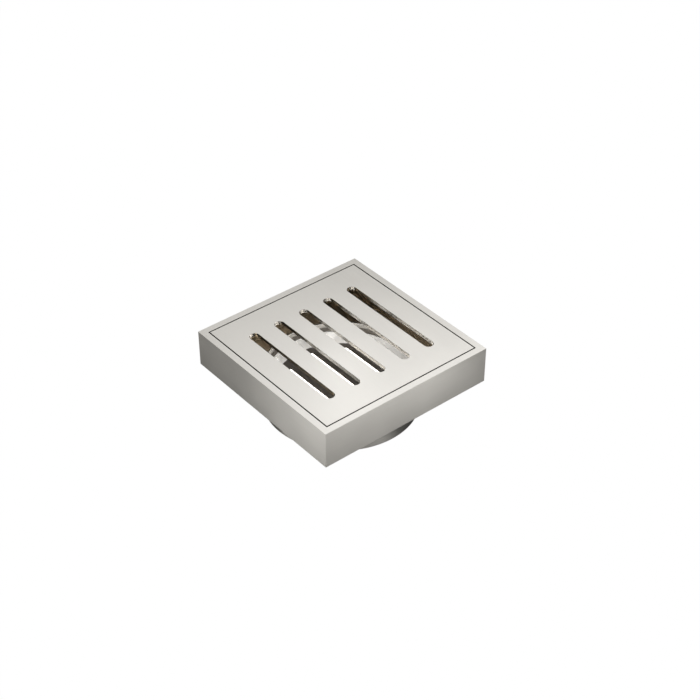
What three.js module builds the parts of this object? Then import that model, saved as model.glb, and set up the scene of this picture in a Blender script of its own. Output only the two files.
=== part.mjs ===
// Square floor drain with a lift-out slotted grate, a round outlet spigot and a lift-out bell trap.
// Millimetres, +Z up. The origin is the centre of the spigot's bottom rim, and slots run along X.
import * as THREE from 'three';

// Outer body
const bodyWidth = 100;
const overallHeight = 37;
const frameHeight = 20.1;
const frameWall = 3.6;
const floorThickness = 1.5;

// Grate
const grateGap = 0.45;
const grateThickness = 2;
const slotCount = 5;
const slotLength = 63.5;
const slotWidth = 5.3;
const slotPitch = 15.45;

// Corner supports under the grate
const ledgeLeg = 12;
const ledgeThickness = 2;
const padRadius = 2.5;
const padThickness = 0.8;
const padInset = 4.2;

// Outlet spigot
const spigotOuterRadius = 39.7;
const spigotWall = 0.8;

// Trap cup, with its rubber lip and its standpipe
const cupRimDepth = 22.9;
const cupRimRadius = 37.2;
const cupRimWall = 0.6;
const cupShoulderDepth = 28.2;
const cupShoulderRadius = 34.4;
const cupBaseRadius = 33.6;
const cupFloorDepth = 35.2;
const cupSheet = 1;
const lipTopDepth = 20.9;
const lipBottomDepth = 26;
const lipThickness = 0.55;
const standpipeOuterRadius = 18.3;
const standpipeWall = 1;
const standpipeTopDepth = 29.8;
const standpipeBottomDepth = 36.6;

// Bell that hangs over the standpipe
const bellTopDepth = 26;
const bellRadius = 27.6;
const bellSheet = 1;
const bellSkirtDepth = 33;
const bellLegCount = 3;
const bellLegWidth = 6;
const bellLegThickness = 1;

// Gaps between neighbouring pieces
const seamGap = 0.3;
const restGap = 0.1;

const roundSegments = 64;
const slotEndSegments = 10;

// Heights are given as depths below the top face.
const level = (depth) => overallHeight - depth;
const frameInner = bodyWidth / 2 - frameWall;
const spigotInnerRadius = spigotOuterRadius - spigotWall;
const grateBottom = level(grateThickness);

const metal = (color, roughness) => new THREE.MeshStandardMaterial({ color, roughness, metalness: 1 });
const rubber = (color) => new THREE.MeshStandardMaterial({ color, roughness: 0.8, metalness: 0 });
const brushedNickel = () => metal(0xc9c6bf, 0.35);
const innerSteel = () => metal(0x8f8b84, 0.4);
const cupPlastic = () => new THREE.MeshStandardMaterial({ color: 0xccc8c1, roughness: 0.4, metalness: 0 });

const group = new THREE.Group();

function addPart(name, geometry, material) {
  const mesh = new THREE.Mesh(geometry, material);
  mesh.name = name;
  group.add(mesh);
  return mesh;
}

// A ring turned about Z. The section is a list of [radius, height], anticlockwise.
function turned(section) {
  const points = [...section, section[0]].map(([r, z]) => new THREE.Vector2(r, z));
  return new THREE.LatheGeometry(points, roundSegments).rotateX(Math.PI / 2);
}

function squareOutline(Outline, half) {
  return new Outline([
    new THREE.Vector2(-half, -half),
    new THREE.Vector2(half, -half),
    new THREE.Vector2(half, half),
    new THREE.Vector2(-half, half),
  ]);
}

function plate(shape, bottom, thickness, curveSegments) {
  const options = { depth: thickness, bevelEnabled: false, curveSegments };
  return new THREE.ExtrudeGeometry(shape, options).translate(0, 0, bottom);
}

// A slot with round ends, centred on y.
function slotOutline(y) {
  const r = slotWidth / 2;
  const straight = slotLength / 2 - r;
  const path = new THREE.Path();
  path.moveTo(-straight, y - r);
  path.lineTo(straight, y - r);
  path.absarc(straight, y, r, -Math.PI / 2, Math.PI / 2, false);
  path.lineTo(-straight, y + r);
  path.absarc(-straight, y, r, Math.PI / 2, (3 * Math.PI) / 2, false);
  return path;
}

function trayFrame() {
  const shape = squareOutline(THREE.Shape, bodyWidth / 2);
  shape.holes.push(squareOutline(THREE.Path, frameInner));
  return plate(shape, level(frameHeight), frameHeight, 1);
}

function trayFloor() {
  const shape = squareOutline(THREE.Shape, frameInner - seamGap);
  const hole = new THREE.Path();
  hole.absarc(0, 0, spigotOuterRadius + seamGap, 0, 2 * Math.PI, false);
  shape.holes.push(hole);
  return plate(shape, level(frameHeight), floorThickness, roundSegments);
}

// The tube stands up through the tray floor and ends flush with its upper face.
function outletSpigot() {
  const top = level(frameHeight) + floorThickness;
  return turned([
    [spigotInnerRadius, 0],
    [spigotOuterRadius, 0],
    [spigotOuterRadius, top],
    [spigotInnerRadius, top],
  ]);
}

function gratePlate() {
  const shape = squareOutline(THREE.Shape, frameInner - grateGap);
  for (let i = 0; i < slotCount; i += 1) {
    shape.holes.push(slotOutline((i - (slotCount - 1) / 2) * slotPitch));
  }
  return plate(shape, grateBottom, grateThickness, slotEndSegments);
}

// A three-cornered shelf across one inside corner of the frame.
function cornerLedge(sx, sy) {
  const corner = frameInner - seamGap;
  const points = [
    new THREE.Vector2(sx * corner, sy * corner),
    new THREE.Vector2(sx * (corner - ledgeLeg), sy * corner),
    new THREE.Vector2(sx * corner, sy * (corner - ledgeLeg)),
  ];
  const top = grateBottom - padThickness - 2 * restGap;
  return plate(new THREE.Shape(points), top - ledgeThickness, ledgeThickness, 1);
}

function ledgePad(sx, sy) {
  const reach = frameInner - padInset;
  const disc = new THREE.CylinderGeometry(padRadius, padRadius, padThickness, 24);
  const middle = grateBottom - restGap - padThickness / 2;
  return disc.rotateX(Math.PI / 2).translate(sx * reach, sy * reach, middle);
}

function trapCup() {
  const holeRadius = standpipeOuterRadius + seamGap;
  return turned([
    [holeRadius, level(cupFloorDepth + cupSheet)],
    [cupBaseRadius + cupSheet, level(cupFloorDepth + cupSheet)],
    [cupShoulderRadius + cupSheet, level(cupShoulderDepth)],
    [cupRimRadius + cupRimWall, level(cupRimDepth + cupSheet)],
    [cupRimRadius + cupRimWall, level(cupRimDepth)],
    [cupRimRadius, level(cupRimDepth)],
    [cupShoulderRadius, level(cupShoulderDepth)],
    [cupBaseRadius, level(cupFloorDepth)],
    [holeRadius, level(cupFloorDepth)],
  ]);
}

// The rubber lip caps the cup's rim, slopes up to the tube and has a thin skirt outside the rim.
function cupLip() {
  const outer = cupRimRadius + cupRimWall + seamGap + lipThickness;
  const bottomOfCap = level(cupRimDepth) + seamGap;
  return turned([
    [outer - lipThickness, level(lipBottomDepth)],
    [outer, level(lipBottomDepth)],
    [outer, level(lipTopDepth)],
    [outer - lipThickness / 2, level(lipTopDepth)],
    [cupRimRadius, bottomOfCap],
    [outer - lipThickness, bottomOfCap],
  ]);
}

function standpipe() {
  return turned([
    [standpipeOuterRadius - standpipeWall, level(standpipeBottomDepth)],
    [standpipeOuterRadius, level(standpipeBottomDepth)],
    [standpipeOuterRadius, level(standpipeTopDepth)],
    [standpipeOuterRadius - standpipeWall, level(standpipeTopDepth)],
  ]);
}

// An inverted cup: a flat top on the axis and a plain skirt.
function trapBell() {
  const top = level(bellTopDepth);
  const points = [
    [0, top - bellSheet],
    [bellRadius - bellSheet, top - bellSheet],
    [bellRadius - bellSheet, level(bellSkirtDepth)],
    [bellRadius, level(bellSkirtDepth)],
    [bellRadius, top],
    [0, top],
  ].map(([r, z]) => new THREE.Vector2(r, z));
  return new THREE.LatheGeometry(points, roundSegments).rotateX(Math.PI / 2);
}

// A tab inside the skirt that stands on the cup's floor and carries the bell.
function bellLeg() {
  const bottom = level(cupFloorDepth) + restGap;
  const height = level(bellTopDepth) - bellSheet - seamGap - bottom;
  const reach = bellRadius - bellSheet - seamGap - bellLegThickness;
  const tab = new THREE.BoxGeometry(bellLegThickness, bellLegWidth, height);
  return tab.translate(reach, 0, bottom + height / 2);
}

addPart('tray_frame', trayFrame(), brushedNickel());
addPart('tray_floor', trayFloor(), innerSteel());
addPart('outlet_spigot', outletSpigot(), brushedNickel());
addPart('grate_plate', gratePlate(), brushedNickel());

[[1, 1], [-1, 1], [-1, -1], [1, -1]].forEach(([sx, sy], i) => {
  // Mirroring turns the outline's direction, and THREE.Shape puts it right again when it is extruded.
  addPart(`corner_ledge_${i + 1}`, cornerLedge(sx, sy), innerSteel());
  addPart(`ledge_pad_${i + 1}`, ledgePad(sx, sy), rubber(0x2b2a28));
});

addPart('trap_cup', trapCup(), cupPlastic());
addPart('cup_lip_seal', cupLip(), rubber(0x5e5b57));
addPart('standpipe', standpipe(), cupPlastic());
addPart('trap_bell', trapBell(), innerSteel());
for (let i = 0; i < bellLegCount; i += 1) {
  const leg = addPart(`bell_leg_${i + 1}`, bellLeg(), innerSteel());
  leg.rotation.z = (i * 2 * Math.PI) / bellLegCount;
}

export default group;
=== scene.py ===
"""Looks for the square floor drain: detailed meshes, brushed metal, studio light and camera."""

import math

import bmesh
import bpy
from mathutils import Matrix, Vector


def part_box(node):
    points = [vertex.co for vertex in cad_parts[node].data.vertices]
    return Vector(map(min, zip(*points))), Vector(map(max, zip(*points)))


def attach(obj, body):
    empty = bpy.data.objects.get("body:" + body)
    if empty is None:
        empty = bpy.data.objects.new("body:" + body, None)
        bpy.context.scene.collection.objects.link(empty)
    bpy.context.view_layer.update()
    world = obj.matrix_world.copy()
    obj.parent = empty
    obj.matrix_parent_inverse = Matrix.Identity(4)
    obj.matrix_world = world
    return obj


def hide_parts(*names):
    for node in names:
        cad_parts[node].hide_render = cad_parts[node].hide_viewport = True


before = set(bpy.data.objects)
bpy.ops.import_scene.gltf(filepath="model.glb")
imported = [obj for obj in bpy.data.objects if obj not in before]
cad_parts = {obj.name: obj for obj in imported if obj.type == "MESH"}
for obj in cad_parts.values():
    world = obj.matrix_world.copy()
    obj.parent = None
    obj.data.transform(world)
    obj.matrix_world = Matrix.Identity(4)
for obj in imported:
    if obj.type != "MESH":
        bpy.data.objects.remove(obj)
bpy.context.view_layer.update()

MM = 0.001

# Sizes that the boxes of the CAD nodes don't give, in metres
FRAME_WALL = 3.6 * MM
SLOT_COUNT = 5
SLOT_LENGTH = 63.5 * MM
SLOT_WIDTH = 5.3 * MM
SLOT_PITCH = 15.45 * MM
SPIGOT_WALL = 0.8 * MM
SHEET = 1.0 * MM
LEDGE_LEG = 12 * MM
LEDGE_TIP_SHRINK = 3.4
BELL_LEG_ANGLES = (0, 120, 240)
CUP_BASE_RADIUS = 33.6 * MM
CUP_SHOULDER_RADIUS = 34.4 * MM
CUP_SHOULDER_DROP = 28.2 * MM
LIP_THICKNESS = 0.55 * MM
LIP_RIB_START = 0.9 * MM
LIP_RIB_PITCH = 1.3 * MM
WELD_BEAD = 0.55 * MM
GLUE_BEAD = 0.4 * MM
BEAD_RIPPLE = 0.14

# The gap that the CAD leaves between joined solids, what is left of it between floor and frame, and the
# extra width of the groove round the grate
SOLID_GAP = 0.3 * MM
FLOOR_GAP = 0.02 * MM
GROOVE_EXTRA = 0.2 * MM

# Rounding along the edges of the frame and plates, and at their upright corners
FRAME_EDGE = 0.04 * MM
PLATE_EDGE = 0.03 * MM
FRAME_CORNER = 0.12 * MM
PLATE_CORNER = 0.3 * MM

# Places worked out from the frame
FRAME_LOW, FRAME_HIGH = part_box("tray_frame")
FLOOR_LOW, FLOOR_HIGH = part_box("tray_floor")
GRATE_LOW, GRATE_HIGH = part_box("grate_plate")
SPIGOT_LOW, SPIGOT_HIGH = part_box("outlet_spigot")
CUP_LOW, CUP_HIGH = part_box("trap_cup")
LIP_LOW, LIP_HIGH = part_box("cup_lip_seal")
PIPE_LOW, PIPE_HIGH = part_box("standpipe")
BELL_LOW, BELL_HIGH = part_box("trap_bell")

HALF = FRAME_HIGH.x
INNER_HALF = HALF - FRAME_WALL
TOP = FRAME_HIGH.z
SPIGOT_RADIUS = SPIGOT_HIGH.x

TOLERANCE = 0.01 * MM
RING_STEPS = 192
ARC_STEPS = 5


# ---------------------------------------------------------------- outlines

def arc(centre, radius, start, end, steps):
    """Points on an arc, angles in degrees, both ends included."""
    angles = [math.radians(start + (end - start) * i / steps) for i in range(steps + 1)]
    return [(centre[0] + radius * math.cos(a), centre[1] + radius * math.sin(a)) for a in angles]


def rounded_square(half, corner):
    """An anticlockwise square with round corners."""
    reach = half - corner
    points = []
    for quarter, (sx, sy) in enumerate(((1, 1), (-1, 1), (-1, -1), (1, -1))):
        points += arc((sx * reach, sy * reach), corner, 90 * quarter, 90 * quarter + 90, 6)
    return points


def stadium(y, length, width):
    """An anticlockwise slot with round ends, along X and centred on y."""
    radius = width / 2
    reach = length / 2 - radius
    return arc((reach, y), radius, -90, 90, 24) + arc((-reach, y), radius, 90, 270, 24)


def circle(radius, steps=RING_STEPS):
    return arc((0, 0), radius, 0, 360 * (steps - 1) / steps, steps - 1)


def softened(section, radius, steps=ARC_STEPS):
    """A closed section, a list of (r, z) or (r, z, own radius), with each corner turned into an arc."""
    result = []
    count = len(section)
    for i, corner in enumerate(section):
        here = Vector(corner[:2])
        back = Vector(section[i - 1][:2]) - here
        ahead = Vector(section[(i + 1) % count][:2]) - here
        size = corner[2] if len(corner) > 2 else radius
        half_angle = back.angle(ahead) / 2
        cut = min(size / math.tan(half_angle), 0.45 * back.length, 0.45 * ahead.length)
        start = here + back.normalized() * cut
        end = here + ahead.normalized() * cut
        for k in range(steps + 1):
            t = k / steps
            bend = (1 - t) ** 2 * start + 2 * t * (1 - t) * here + t ** 2 * end
            result.append(tuple(bend))
    return result


# ---------------------------------------------------------------- meshes

def mesh_object(name, build, crease=180):
    """A new object whose bmesh is made by build(bm).

    Edges that turn by more than crease degrees stay sharp.
    """
    bm = bmesh.new()
    build(bm)
    bmesh.ops.remove_doubles(bm, verts=bm.verts, dist=1e-7)
    bmesh.ops.recalc_face_normals(bm, faces=bm.faces)
    for face in bm.faces:
        face.smooth = True
    for edge in bm.edges:
        edge.smooth = edge.calc_face_angle(0) < math.radians(crease)
    mesh = bpy.data.meshes.new(name)
    bm.to_mesh(mesh)
    bm.free()
    obj = bpy.data.objects.new(name, mesh)
    bpy.context.scene.collection.objects.link(obj)
    return obj


def weigh_normals(obj):
    """Large flat faces keep flat shading beside their rounded edges."""
    weighted = obj.modifiers.new("flat_faces", "WEIGHTED_NORMAL")
    weighted.keep_sharp = True
    weighted.weight = 100
    return obj


def skin_rings(bm, rings, closed):
    """Joins each ring of points to the next with quads."""
    made = [[bm.verts.new(p) for p in ring] for ring in rings]
    pairs = zip(made, made[1:] + made[:1]) if closed else zip(made, made[1:])
    for lower, upper in pairs:
        count = len(lower)
        for i in range(count):
            j = (i + 1) % count
            bm.faces.new((lower[i], lower[j], upper[j], upper[i]))
    return made


def slab(name, outline, holes, bottom, top, edge, steps=4, crease=180, split_at=None):
    """A plate with rounded edges. outline(inset) and each of holes(inset) give an anticlockwise loop.

    split_at is the height of one more ring round the sides, so that they can be painted in two parts.
    """
    profile = [(edge * (1 - math.sin(a)), bottom + edge * (1 - math.cos(a)))
               for a in (math.pi / 2 * k / steps for k in range(steps + 1))]
    upper = [(inset, top + bottom - z) for inset, z in reversed(profile)]
    profile += ([(0, split_at)] if split_at else []) + upper

    def build(bm):
        lowest, highest = [], []
        for shape, grow in [(outline, 1)] + [(hole, -1) for hole in holes]:
            rings = [[(x, y, z) for x, y in shape(grow * inset)] for inset, z in profile]
            made = skin_rings(bm, rings, closed=False)
            lowest.append(made[0])
            highest.append(made[-1])
        for loops in (lowest, highest):
            edges = [bm.edges.get((loop[i - 1], loop[i])) for loop in loops for i in range(len(loop))]
            bmesh.ops.triangle_fill(bm, edges=edges, use_beauty=True)

    return weigh_normals(mesh_object(name, build, crease))


def turned(name, section, steps=RING_STEPS):
    """A ring turned about Z from a closed section of (r, z)."""
    def build(bm):
        angles = (2 * math.pi * i / steps for i in range(steps))
        rings = [[(r * math.cos(a), r * math.sin(a), z) for r, z in section] for a in angles]
        skin_rings(bm, rings, closed=True)

    return weigh_normals(mesh_object(name, build))


def capped(name, section, steps=RING_STEPS):
    """A body turned about Z from an open section that starts and ends on the axis."""
    def build(bm):
        first, *ring_points, last = section
        rings = [[(r * math.cos(a), r * math.sin(a), z)
                  for a in (2 * math.pi * i / steps for i in range(steps))] for r, z in ring_points]
        made = skin_rings(bm, rings, closed=False)
        for (_, z), ring in ((first, made[0]), (last, made[-1])):
            pole = bm.verts.new((0, 0, z))
            for i in range(steps):
                bm.faces.new((ring[i], ring[(i + 1) % steps], pole))

    return weigh_normals(mesh_object(name, build))


def swept(name, path, radius, sides=10):
    """A closed bead along a closed loop of points that lie level, rippled like a weld."""
    def build(bm):
        rings = []
        count = len(path)
        for i, here in enumerate(path):
            along = (Vector(path[(i + 1) % count]) - Vector(path[i - 1])).normalized()
            across = along.cross(Vector((0, 0, 1)))
            size = radius * (1 + BEAD_RIPPLE * math.cos(2 * math.pi * i / 3))
            rings.append([Vector(here) + across * size * math.cos(a) + Vector((0, 0, size * math.sin(a)))
                          for a in (2 * math.pi * k / sides for k in range(sides))])
        skin_rings(bm, rings, closed=True)

    return mesh_object(name, build)


def dress(obj, body, slot, material, *nodes):
    """Puts a piece on its body, gives it its finish and hides the CAD nodes that it stands for."""
    obj.data.materials.append(material)
    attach(obj, body)
    if nodes:
        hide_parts(*nodes)
    return obj


def paint(obj, material, chosen):
    """Gives the faces that chosen(face) picks one more finish."""
    obj.data.materials.append(material)
    for face in obj.data.polygons:
        if chosen(face):
            face.material_index = len(obj.data.materials) - 1


def square_radius(face):
    """How far a face's middle is from the axis along X or Y, whichever is more."""
    return max(abs(face.center.x), abs(face.center.y))


def upright(face):
    return abs(face.normal.z) < 0.1


def lies_level(face):
    return abs(face.normal.z) > 0.9


# ---------------------------------------------------------------- materials

class Nodes:
    """A small wrapper that makes and links shader nodes."""

    def __init__(self, name):
        self.material = bpy.data.materials.new(name)
        self.material.use_nodes = True
        self.tree = self.material.node_tree
        self.shader = self.tree.nodes["Principled BSDF"]

    def add(self, kind, inputs=None, **settings):
        node = self.tree.nodes.new(kind)
        for key, value in settings.items():
            setattr(node, key, value)
        for key, value in (inputs or {}).items():
            if isinstance(value, bpy.types.NodeSocket):
                self.tree.links.new(value, node.inputs[key])
            else:
                node.inputs[key].default_value = value
        return node

    def link(self, output, key):
        self.tree.links.new(output, self.shader.inputs[key])

    def tint(self, colour, tone):
        """Base colour times a tone near 1."""
        tinted = self.add("ShaderNodeMix", {"Factor": 1.0}, data_type="RGBA", blend_type="MULTIPLY")
        tinted.inputs["A"].default_value = (*colour, 1)
        self.tree.links.new(tone, tinted.inputs["B"])
        self.link(tinted.outputs["Result"], "Base Color")

    def math(self, operation, first, second=0.0, clamp=False):
        """A sum or function of one or two values, each a number or an output."""
        return self.add("ShaderNodeMath", {0: first, 1: second}, operation=operation,
                        use_clamp=clamp).outputs[0]

    def place(self):
        return self.add("ShaderNodeTexCoord").outputs["Object"]

    def scaled(self, vector, scale):
        return self.add("ShaderNodeMapping", {"Vector": vector, "Scale": scale}).outputs[0]

    def noise(self, vector, scale, detail=3.0, rough=0.5):
        return self.add("ShaderNodeTexNoise", {"Vector": vector, "Scale": scale, "Detail": detail,
                                               "Roughness": rough}).outputs["Fac"]

    def turned_place(self):
        """Coordinates that follow a lathe: radius, a little of the angle, and height."""
        parts = self.add("ShaderNodeSeparateXYZ", {0: self.place()})
        x, y, z = parts.outputs
        squares = self.math("ADD", self.math("MULTIPLY", x, x), self.math("MULTIPLY", y, y))
        flat = self.math("SQRT", squares)
        angle = self.math("MULTIPLY", self.math("ARCTAN2", y, x), 0.0004)
        return self.add("ShaderNodeCombineXYZ", {0: flat, 1: angle, 2: z}).outputs[0]

    def spread(self, value, low, high):
        """Maps the range that noise mostly keeps to, 0.3 to 0.7, to low to high."""
        return self.add("ShaderNodeMapRange", {"Value": value, "From Min": 0.3, "From Max": 0.7,
                                               "To Min": low, "To Max": high}).outputs[0]


def brushed(name, colour, roughness, grain, lathe=False,
            streak=0.05, bump=0.12, blotch=0.04, uneven=0.05):
    """Brushed metal. grain is the scale of the brush lines along X, Y and Z, per metre.

    streak and blotch vary the colour along the lines and in clouds, and uneven varies the roughness.
    """
    n = Nodes(name)
    place = n.place()
    lines_at = n.turned_place() if lathe else place
    lines = n.noise(n.scaled(lines_at, grain), 1.0, 4.0, 0.6)
    long_lines = n.noise(n.scaled(lines_at, [g * 0.31 for g in grain]), 1.0, 2.0)
    clouds = n.noise(place, 42.0, 4.0, 0.55)
    fine = n.noise(place, 5200.0, 2.0)
    mixed = n.math("ADD", n.math("MULTIPLY", lines, 0.6), n.math("MULTIPLY", long_lines, 0.4))
    tone = n.math("ADD", n.spread(mixed, 1 - streak, 1 + streak), n.spread(clouds, -blotch, blotch))
    n.tint(colour, tone)
    varied = n.math("ADD", n.spread(mixed, roughness - uneven, roughness + uneven),
                    n.spread(clouds, -0.6 * uneven, 0.6 * uneven))
    n.link(n.math("ADD", varied, n.spread(fine, -0.02, 0.02), clamp=True), "Roughness")
    height = n.math("ADD", mixed, n.math("MULTIPLY", fine, 0.4))
    relief = n.add("ShaderNodeBump", {"Strength": bump, "Distance": 0.00006, "Height": height})
    n.link(relief.outputs[0], "Normal")
    n.shader.inputs["Metallic"].default_value = 1.0
    return n.material


def rubber(name, colour, roughness=0.62):
    """Moulded rubber with a fine pebble and a dusty bloom."""
    n = Nodes(name)
    place = n.place()
    pebble = n.noise(place, 3800.0, 3.0)
    dust = n.noise(place, 210.0, 5.0, 0.65)
    tone = n.spread(dust, 0.8, 1.35)
    n.tint(colour, tone)
    n.link(n.spread(dust, roughness - 0.08, roughness + 0.12), "Roughness")
    relief = n.add("ShaderNodeBump", {"Strength": 0.25, "Distance": 0.00005, "Height": pebble})
    n.link(relief.outputs[0], "Normal")
    return n.material


def plastic(name, colour, roughness=0.38):
    """Moulded plastic with faint flow marks and a light film of scale."""
    n = Nodes(name)
    place = n.place()
    flow = n.noise(n.scaled(place, (60, 60, 400)), 1.0, 3.0)
    scale = n.noise(place, 320.0, 5.0, 0.7)
    tone = n.math("ADD", n.spread(flow, 0.97, 1.03), n.spread(scale, -0.05, 0.03))
    n.tint(colour, tone)
    n.link(n.spread(scale, roughness + 0.1, roughness - 0.06), "Roughness")
    relief = n.add("ShaderNodeBump", {"Strength": 0.1, "Distance": 0.00005, "Height": scale})
    n.link(relief.outputs[0], "Normal")
    return n.material


NICKEL = (0.735, 0.72, 0.685)
TOP_NICKEL = (0.735, 0.72, 0.69)
CUT_NICKEL = (0.68, 0.665, 0.63)
BORE_NICKEL = (0.78, 0.76, 0.72)
STEEL = (0.62, 0.555, 0.46)
# Painted shade: the bell's steel is much darker than the tray's, standing in for the shade deep under the
# slots
BELL_SHADE_STEEL = (0.345, 0.328, 0.305)
ALONG_X = (60, 2600, 2600)
ROUND_THE_SIDES = (60, 60, 2600)
ROUND_A_LATHE = (2600, 60, 2600)

top_nickel = brushed("nickel_top", TOP_NICKEL, 0.35, ALONG_X,
                     streak=0.012, bump=0.04, blotch=0.015, uneven=0.015)
side_nickel = brushed("nickel_sides", NICKEL, 0.37, ROUND_THE_SIDES,
                      streak=0.02, bump=0.06, blotch=0.02, uneven=0.025)
cut_nickel = brushed("nickel_cut", CUT_NICKEL, 0.22, (400, 400, 3000),
                     streak=0.02, bump=0.01, blotch=0.02, uneven=0.02)
# Painted shade: near-black steel that stands in for the shade deep in the groove round the grate
groove_shade_steel = brushed("steel_painted_groove_shade", (0.03, 0.028, 0.025), 0.6, ROUND_THE_SIDES)
# Painted shade: dark steel for the grate's outer sides, standing in for the shade in the groove
groove_shade_edge_steel = brushed("steel_edge_painted_shade", (0.08, 0.075, 0.068), 0.5, ROUND_THE_SIDES)
spun_nickel = brushed("nickel_spun", NICKEL, 0.33, ROUND_A_LATHE, lathe=True, bump=0.06)
bore_nickel = brushed("nickel_bore", BORE_NICKEL, 0.63, ROUND_A_LATHE, lathe=True, bump=0.06)
shaded_bell_steel = brushed("steel_bell_painted_shade", BELL_SHADE_STEEL, 0.85, (2200, 60, 2200), lathe=True,
                     streak=0.03, bump=0.04, blotch=0.02, uneven=0.02)
inner_steel = brushed("steel_inner", STEEL, 0.38, (50, 1800, 1800), blotch=0.08)
weld_steel = brushed("steel_weld", (0.3, 0.28, 0.25), 0.6, (900, 900, 900), streak=0.12, blotch=0.12)
cup_plastic = plastic("plastic_cup", (0.80, 0.785, 0.755))
# Painted shade: a dark copy of the cup's plastic for its shaded lower part
shaded_cup_plastic = plastic("plastic_cup_painted_shade", (0.075, 0.066, 0.056), 0.5)
lip_rubber = rubber("rubber_lip", (0.105, 0.093, 0.077))
pad_rubber = rubber("rubber_pad", (0.03, 0.03, 0.028))


# ---------------------------------------------------------------- pieces

def make_frame():
    """The walls' upper part, beside the grate, is painted near black: a painted shade for the deep groove
    round the grate.
    """
    piece = slab("frame_detail", lambda inset: rounded_square(HALF - inset, FRAME_CORNER),
                 [lambda inset: rounded_square(INNER_HALF - inset, PLATE_CORNER)],
                 FRAME_LOW.z, TOP, FRAME_EDGE, steps=1, crease=25, split_at=GRATE_LOW.z)
    dress(piece, "tray", "brushed_nickel", side_nickel, "tray_frame")
    paint(piece, top_nickel, lies_level)

    def is_inner_wall(face):
        return upright(face) and square_radius(face) < INNER_HALF + TOLERANCE

    paint(piece, inner_steel, is_inner_wall)
    # Painted shade on the walls above the grate's underside, for the groove's shade
    paint(piece, groove_shade_steel, lambda face: is_inner_wall(face) and face.center.z > GRATE_LOW.z)


def make_grate():
    """Its slots' sides are plain cut metal, and its outer sides are painted dark: a painted shade for the
    groove round it.
    """
    def slot_edge(i):
        y = (i - (SLOT_COUNT - 1) / 2) * SLOT_PITCH
        return lambda inset: stadium(y, SLOT_LENGTH - 2 * inset, SLOT_WIDTH - 2 * inset)

    outer = GRATE_HIGH.x - GROOVE_EXTRA
    piece = slab("grate_detail", lambda inset: rounded_square(outer - inset, PLATE_CORNER),
                 [slot_edge(i) for i in range(SLOT_COUNT)],
                 GRATE_LOW.z, GRATE_HIGH.z, PLATE_EDGE, steps=1, crease=25)
    dress(piece, "grate", "brushed_nickel", top_nickel, "grate_plate")
    paint(piece, cut_nickel, upright)
    # Painted shade on the grate's outer sides, for the groove's shade
    paint(piece, groove_shade_edge_steel, lambda face: upright(face) and square_radius(face) > outer - 1 * MM)


def make_floor():
    """A plate with a round hole, and the weld that joins it to the spigot."""
    half = INNER_HALF - FLOOR_GAP
    hole = SPIGOT_RADIUS + SOLID_GAP
    piece = slab("floor_detail", lambda inset: rounded_square(half - inset, PLATE_CORNER),
                 [lambda inset: circle(hole - inset)],
                 FLOOR_LOW.z, FLOOR_HIGH.z, PLATE_EDGE, steps=1, crease=25)
    dress(piece, "tray", "inner_steel", inner_steel, "tray_floor")
    around = [(x, y, FLOOR_LOW.z - 0.05 * MM) for x, y in circle(hole, 360)]
    dress(swept("spigot_weld", around, WELD_BEAD), "tray", "inner_steel", weld_steel)


def make_spigot():
    inner = SPIGOT_RADIUS - SPIGOT_WALL
    section = softened([
        (inner, SPIGOT_LOW.z),
        (SPIGOT_RADIUS, SPIGOT_LOW.z),
        (SPIGOT_RADIUS, SPIGOT_HIGH.z),
        (inner, SPIGOT_HIGH.z),
    ], 0.25 * MM)
    piece = turned("spigot_detail", section)
    dress(piece, "tray", "brushed_nickel", spun_nickel, "outlet_spigot")
    paint(piece, bore_nickel, lambda face: face.center.xy.length < inner + 0.3 * MM)


def make_ledges():
    """A triangular shelf in each corner of the frame."""
    for i, (sx, sy) in enumerate(((1, 1), (-1, 1), (-1, -1), (1, -1)), start=1):
        low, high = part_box(f"corner_ledge_{i}")

        def outline(inset, sx=sx, sy=sy):
            near = INNER_HALF - SOLID_GAP - inset
            far = INNER_HALF - SOLID_GAP - LEDGE_LEG + inset * LEDGE_TIP_SHRINK
            section = softened([(near, near), (far, near), (near, far)], 0.8 * MM)
            placed = [(sx * x, sy * y) for x, y in section]
            return placed if sx * sy > 0 else placed[::-1]

        piece = slab(f"ledge_detail_{i}", outline, [], low.z, high.z, 0.18 * MM)
        dress(piece, "tray", "inner_steel", inner_steel, f"corner_ledge_{i}")


def make_pads():
    """Round buttons with a dimple in the top."""
    for i in range(1, 5):
        low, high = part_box(f"ledge_pad_{i}")
        radius = (high.x - low.x) / 2
        thick = high.z - low.z
        dimple = thick * 0.7
        section = softened([
            (radius * 0.96, 0),
            (radius, thick * 0.35),
            (radius * 0.9, thick),
            (radius * 0.55, thick),
            (radius * 0.45, dimple),
            (radius * 0.1, dimple),
        ], 0.12 * MM, 3)
        piece = capped(f"pad_detail_{i}", [(0, 0)] + section + [(0, dimple)], 48)
        centre = (low + high) / 2
        piece.location = (centre.x, centre.y, low.z)
        dress(piece, "tray", "pad_rubber", pad_rubber, f"ledge_pad_{i}")


def make_cup():
    """Below the shoulder it is painted dark: a painted shade for the cup's deep part."""
    rim = CUP_HIGH.x
    shoulder_z = TOP - CUP_SHOULDER_DROP
    hole = PIPE_HIGH.x + SOLID_GAP
    section = softened([
        (hole, CUP_LOW.z),
        (CUP_BASE_RADIUS + SHEET, CUP_LOW.z, 2.0 * MM),
        (CUP_SHOULDER_RADIUS + SHEET, shoulder_z, 1.5 * MM),
        (rim, CUP_HIGH.z - SHEET, 0.5 * MM),
        (rim, CUP_HIGH.z, 0.2 * MM),
        (rim - 0.6 * MM, CUP_HIGH.z, 0.2 * MM),
        (CUP_SHOULDER_RADIUS, shoulder_z, 1.5 * MM),
        (CUP_BASE_RADIUS, CUP_LOW.z + SHEET, 1.6 * MM),
        (hole, CUP_LOW.z + SHEET),
    ], 0.2 * MM)
    piece = turned("cup_detail", section)
    dress(piece, "cup", "cup_plastic", cup_plastic, "trap_cup")
    # Painted shade below the shoulder
    paint(piece, shaded_cup_plastic, lambda face: face.center.z < shoulder_z - 0.2 * MM)


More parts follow.
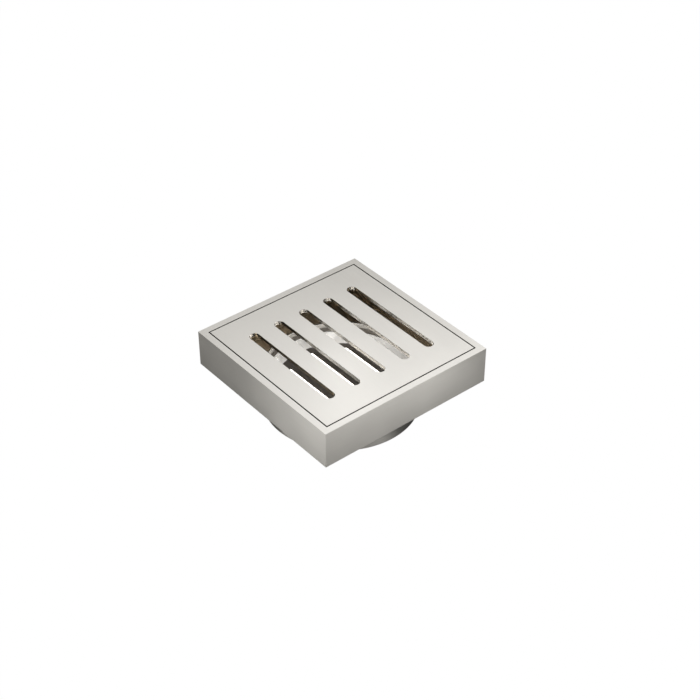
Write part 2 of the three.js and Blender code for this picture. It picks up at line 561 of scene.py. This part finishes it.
def make_lip():
    """A thin skirt with three ribs, and a cap over the cup's rim."""
    outer, rim = LIP_HIGH.x, CUP_HIGH.x
    cap = CUP_HIGH.z + SOLID_GAP
    skirt = outer - LIP_THICKNESS
    valley = outer - 0.12 * MM
    crest = outer + 0.1 * MM
    half_rib = 0.3 * MM
    ribs = []
    for k in range(3):
        z = LIP_LOW.z + LIP_RIB_START + LIP_RIB_PITCH * k
        ribs += [(valley, z - half_rib), (crest, z), (valley, z + half_rib)]
    foot = [(skirt, LIP_LOW.z), (valley, LIP_LOW.z)]
    head = [
        (outer - 0.1 * MM, LIP_HIGH.z - 0.4 * MM),
        (outer, LIP_HIGH.z),
        (outer - 0.3 * MM, LIP_HIGH.z),
        (rim - 0.6 * MM, cap),
        (skirt, cap),
    ]
    section = softened(foot + ribs + head, 0.12 * MM, 3)
    dress(turned("lip_detail", section), "cup", "lip_rubber", lip_rubber, "cup_lip_seal")


def make_standpipe():
    """A tube that flares a little at the top, glued to the cup's floor."""
    outer = PIPE_HIGH.x
    inner = outer - SHEET
    flare = outer + 0.25 * MM
    section = softened([
        (inner, PIPE_LOW.z),
        (outer, PIPE_LOW.z),
        (outer, PIPE_HIGH.z - 0.3 * MM),
        (flare, PIPE_HIGH.z),
        (inner, PIPE_HIGH.z),
    ], 0.3 * MM)
    dress(turned("standpipe_detail", section, 128), "cup", "cup_plastic", cup_plastic, "standpipe")
    around = [(x, y, CUP_LOW.z + SHEET) for x, y in circle(outer + 0.25 * MM, 240)]
    dress(swept("standpipe_joint", around, GLUE_BEAD), "cup", "cup_plastic", cup_plastic)


def make_bell():
    """A thin inverted cup with a rounded rim."""
    outer, top = BELL_HIGH.x, BELL_HIGH.z
    inner = outer - SHEET
    corner = 0.5 * MM
    inner_corner = 0.4 * MM
    section = [(0, top - SHEET)]
    section += arc((inner - inner_corner, top - SHEET - inner_corner), inner_corner, 90, 0, 4)
    section += [(inner, BELL_LOW.z + 0.3 * MM)]
    section += arc((outer - SHEET / 2, BELL_LOW.z + SHEET / 2), SHEET / 2, 180, 360, 8)
    section += arc((outer - corner, top - corner), corner, 0, 90, 8)
    section += [(0, top)]
    # The bell's dark steel is a painted shade; the bell key lights its stripes
    dress(capped("bell_detail", section), "bell", "inner_steel", shaded_bell_steel, "trap_bell")


def tab_outline(middle_x, half_x, half_y):
    corner = min(half_x, half_y) * 0.5
    corners = [(half_x, -half_y), (half_x, half_y), (-half_x, half_y), (-half_x, -half_y)]
    return [(x + middle_x, y) for x, y in softened(corners, corner, 4)]


def make_bell_legs():
    """The first leg lies on the X axis, and the others are turned copies of it."""
    low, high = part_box("bell_leg_1")
    middle = (low + high) / 2
    half = (high - low) / 2
    for i, angle in enumerate(BELL_LEG_ANGLES, start=1):
        piece = slab(f"bell_leg_detail_{i}",
                     lambda inset: tab_outline(middle.x, half.x - inset, half.y - inset),
                     [], low.z, high.z, 0.2 * MM)
        piece.rotation_euler.z = math.radians(angle)
        dress(piece, "bell", "inner_steel", inner_steel, f"bell_leg_{i}")


# ---------------------------------------------------------------- studio

CAMERA_AZIMUTH = 50.482
CAMERA_ELEVATION = 37.824
CAMERA_DISTANCE = 0.75365
CAMERA_LENS = 79.43

# The camera's aim, from the top's middle along its own right and up
CAMERA_RIGHT = 4.298 * MM
CAMERA_UP = -4.903 * MM

WORLD_BELOW = 0.21
WORLD_ABOVE = 0.45
PAPER_Z = -0.1 * MM
SHADE_Z = -0.05 * MM

# A light's place is an azimuth and elevation in degrees and a distance in metres from the top's middle
KEY_PLACE = (180, 57.97, 0.507)
KEY_SIZE = (0.008, 0.008)
KEY_IRRADIANCE = 4.0
KEY_RADIANCE = KEY_IRRADIANCE * KEY_PLACE[2] ** 2 / KEY_SIZE[0] ** 2
COOL = (0.99, 0.995, 1)
WARM = (1, 0.993, 0.975)

# The frame and grate get a share of the key. The bell, deep under the slots, gets many times as much
OUTER_PIECES = ["frame_detail", "grate_detail"]
OUTER_KEY_SHARE = 1.5 / 4.0
BELL_KEY_SHARE = 14

# The fill reaches the cup and what stands round it as if the grate and bell weren't there
CUP_FILL_PIECES = ["cup_detail", "spigot_detail", "lip_detail"]
CUP_FILL_BLOCKERS = ["frame_detail", "floor_detail"]

# Name, centre, size and soft edge in millimetres, and strength of each shade on the floor
SHADES = [
    ("shade_behind", (45, 42), (46, 96), 14, 1.0),
    ("shade_front", (-22, -40), (56, 40), 8, 1.0),
    ("shade_left", (-20, -58), (140, 30), 13, 0.5),
    ("shade_right", (82, 86), (46, 46), 12, 0.3),
]


def direction(azimuth, elevation):
    """The unit vector toward a place. Azimuth 0 is -Y and azimuth 90 is +X."""
    a, e = math.radians(azimuth), math.radians(elevation)
    return Vector((math.sin(a) * math.cos(e), -math.cos(a) * math.cos(e), math.sin(e)))


def make_camera():
    camera = bpy.data.objects.new("camera", bpy.data.cameras.new("camera"))
    bpy.context.scene.collection.objects.link(camera)
    back = direction(CAMERA_AZIMUTH, CAMERA_ELEVATION)
    right = (-back).cross(Vector((0, 0, 1))).normalized()
    up = right.cross(-back)
    aim = Vector((0, 0, TOP)) + right * CAMERA_RIGHT + up * CAMERA_UP
    camera.location = aim + back * CAMERA_DISTANCE
    camera.rotation_mode = "QUATERNION"
    camera.rotation_quaternion = (-back).to_track_quat("-Z", "Y")
    camera.data.lens = CAMERA_LENS
    camera.data.sensor_width = 36
    camera.data.clip_start = 0.01
    bpy.context.scene.camera = camera


def soft_box(name, azimuth, elevation, distance, size, radiance, colour=(1, 1, 1), aim=(0, 0)):
    """An area light that faces a point of the top.

    radiance is in watts per square metre and steradian.
    """
    data = bpy.data.lights.new(name, "AREA")
    data.shape = "RECTANGLE"
    data.size, data.size_y = size
    data.energy = radiance * math.pi * size[0] * size[1]
    data.color = colour
    light = bpy.data.objects.new(name, data)
    bpy.context.scene.collection.objects.link(light)
    toward = direction(azimuth, elevation)
    light.location = Vector((*aim, TOP)) + toward * distance
    light.rotation_mode = "QUATERNION"
    light.rotation_quaternion = toward.to_track_quat("Z", "Y")
    light.visible_camera = False
    return light


def shine_only_on(light, receivers, blockers=()):
    """Keeps a light to a few pieces. With blockers, only those are in its way."""
    for role, names in (("receiver", receivers), ("blocker", blockers)):
        if not names:
            continue
        group = bpy.data.collections.new(f"{light.name}_{role}s")
        for name in names:
            group.objects.link(bpy.data.objects[name])
        setattr(light.light_linking, f"{role}_collection", group)


def show_to_camera_only(obj):
    """The camera sees this object, but it neither lights the drain nor shades it."""
    obj.visible_glossy = False
    obj.visible_diffuse = False
    obj.visible_shadow = False


def white_paper():
    """Paper that glows plain white. Its own colour is near black, so that no light marks it."""
    n = Nodes("white_paper")
    shade = n.spread(n.noise(n.place(), 3.0, 2.0), 0.0, 0.001)
    n.link(n.add("ShaderNodeCombineColor", {0: shade, 1: shade, 2: shade}).outputs[0], "Base Color")
    n.shader.inputs["Roughness"].default_value = 1.0
    n.shader.inputs["Specular IOR Level"].default_value = 0.0
    n.shader.inputs["Emission Color"].default_value = (1, 1, 1, 1)
    n.shader.inputs["Emission Strength"].default_value = 1.0
    return n.material


def make_backdrop():
    """A white floor and a white dome that meets it."""
    def plane(bm):
        bmesh.ops.create_grid(bm, x_segments=8, y_segments=8, size=3.0)

    def dome(bm):
        bmesh.ops.create_uvsphere(bm, u_segments=48, v_segments=24, radius=2.9)

    paper = white_paper()
    for piece in (mesh_object("studio_floor", plane), mesh_object("studio_dome", dome)):
        piece.location.z = PAPER_Z
        piece.data.materials.append(paper)
        show_to_camera_only(piece)


def make_shade(name, centre, size, soft, strength):
    """A soft-edged shade on the floor. Only reflections show it. centre and size are in millimetres."""
    def build(bm):
        bmesh.ops.create_grid(bm, x_segments=4, y_segments=4, size=0.5)
        bmesh.ops.scale(bm, vec=(size[0] * MM, size[1] * MM, 1), verts=bm.verts)

    patch = mesh_object(name, build)
    patch.location = (centre[0] * MM, centre[1] * MM, SHADE_Z)
    patch.visible_camera = False
    patch.visible_diffuse = False
    patch.visible_shadow = False
    n = Nodes(name)
    parts = n.add("ShaderNodeSeparateXYZ", {0: n.place()}).outputs[:2]
    covers = []
    for part, width in zip(parts, size):
        edge = width / 2 * MM
        fade = {"Value": n.math("ABSOLUTE", part), "From Min": edge - soft * MM, "From Max": edge,
                "To Min": 1.0, "To Max": 0.0}
        covers.append(n.add("ShaderNodeMapRange", fade).outputs[0])
    n.link(n.math("MULTIPLY", n.math("MULTIPLY", *covers), strength), "Alpha")
    n.shader.inputs["Base Color"].default_value = (0.01, 0.01, 0.01, 1)
    n.shader.inputs["Roughness"].default_value = 1.0
    patch.data.materials.append(n.material)


def make_world():
    """An even grey studio all round, about half as bright below."""
    world = bpy.data.worlds.new("studio")
    bpy.context.scene.world = world
    world.use_nodes = True
    tree = world.node_tree
    place = tree.nodes.new("ShaderNodeTexCoord")
    parts = tree.nodes.new("ShaderNodeSeparateXYZ")
    level = tree.nodes.new("ShaderNodeMapRange")
    tree.links.new(place.outputs["Generated"], parts.inputs[0])
    tree.links.new(parts.outputs["Z"], level.inputs["Value"])
    horizon = (("From Min", -0.2), ("From Max", 0.2), ("To Min", WORLD_BELOW), ("To Max", WORLD_ABOVE))
    for key, value in horizon:
        level.inputs[key].default_value = value
    background = tree.nodes["Background"]
    background.inputs["Color"].default_value = (1, 0.98, 0.94, 1)
    tree.links.new(level.outputs[0], background.inputs["Strength"])


def make_lights():
    """The key in its three strengths, soft boxes that the top and sides mirror, and a fill in the cup."""
    key = soft_box("key", *KEY_PLACE, KEY_SIZE, KEY_RADIANCE)
    inner_pieces = [piece.name for piece in bpy.data.objects
                    if piece.type == "MESH" and piece.name not in OUTER_PIECES]
    shine_only_on(key, inner_pieces)
    outer_key = soft_box("face_key", *KEY_PLACE, KEY_SIZE, OUTER_KEY_SHARE * KEY_RADIANCE)
    shine_only_on(outer_key, OUTER_PIECES)
    bell_key = soft_box("bell_key", *KEY_PLACE, KEY_SIZE, BELL_KEY_SHARE * KEY_RADIANCE)
    shine_only_on(bell_key, ["bell_detail"])
    soft_box("top_box", 229.9, 52.6, 0.402, (0.270, 0.250), 0.708, COOL)
    soft_box("glow_box", 237.7, 42.5, 0.129, (0.022, 0.022), 0.83, aim=(0.023, -0.004))
    soft_box("left_box", 356.1, -12.9, 0.174, (0.134, 0.153), 1.4, WARM)
    soft_box("right_box", 100.2, -6.6, 0.151, (0.140, 0.121), 1.3, WARM)
    cup_fill = soft_box("cup_fill", 72, 50, 0.3, (0.3, 0.3), 5.6)
    shine_only_on(cup_fill, CUP_FILL_PIECES, CUP_FILL_BLOCKERS)


make_frame()
make_grate()
make_floor()
make_spigot()
make_ledges()
make_pads()
make_cup()
make_lip()
make_standpipe()
make_bell()
make_bell_legs()

make_camera()
make_backdrop()
make_world()
for shade in SHADES:
    make_shade(*shade)
make_lights()
bpy.context.scene.view_settings.view_transform = "Standard"
